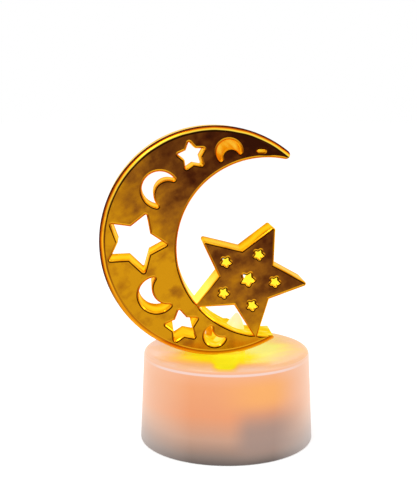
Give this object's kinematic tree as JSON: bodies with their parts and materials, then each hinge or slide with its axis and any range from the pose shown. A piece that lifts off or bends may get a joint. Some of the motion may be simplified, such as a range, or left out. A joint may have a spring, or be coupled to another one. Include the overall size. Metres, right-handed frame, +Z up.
{
  "type": "crescent and star tea light ornament",
  "caption": "Gold crescent with a star, pierced with star and crescent holes, standing on the flame of a lit battery tea light with a translucent cup.",
  "frame": {"origin": "on the cup's axis, on the flat underside that the light rests on", "axes": "+Z up, -Y is the front that shows the pierced face, +X to the right towards the crescent's open side"},
  "size_m": [0.0451, 0.037, 0.0669],
  "materials": {
    "gold_plating": "moulded plastic with a mirror gold plating",
    "translucent_cup": "translucent white moulding, lit from inside",
    "flame_diffuser": "soft translucent moulding, lit from inside",
    "diode_epoxy": "clear amber epoxy",
    "tinned_wire": "tinned steel wire",
    "white_plastic": "white moulding with a fine texture",
    "cell_steel": "nickel-plated steel",
    "cell_nylon": "dark nylon seal",
    "spring_brass": "pressed brass spring strip",
    "black_plastic": "black moulding"
  },
  "bodies": {
    "base": {"cup": "translucent_cup", "flame": "flame_diffuser", "led_body": "diode_epoxy", "led_anode": "tinned_wire", "led_cathode": "tinned_wire", "chassis": "white_plastic", "cell_can": "cell_steel", "cell_seal": "cell_nylon", "cell_cap": "cell_steel", "positive_contact": "spring_brass", "negative_contact": "spring_brass"},
    "ornament": {"ornament": "gold_plating"},
    "switch": {"switch_knob": "black_plastic", "switch_wiper": "spring_brass"},
    "door": {"battery_door": "white_plastic"}
  },
  "joints": [
    {"name": "ornament_lift", "type": "slide", "parent": "base", "child": "ornament", "axis": [0, 0, 1], "range_m": [0, 0.012]},
    {"name": "switch_slide", "type": "slide", "parent": "base", "child": "switch", "axis": [0, 1, 0], "range_m": [0, 0.0026]},
    {"name": "battery_door_turn", "type": "hinge", "parent": "base", "child": "door", "pos_m": [0.0038, 0, 0], "axis": [0, 0, -1], "range_deg": [0, 40]}
  ]
}
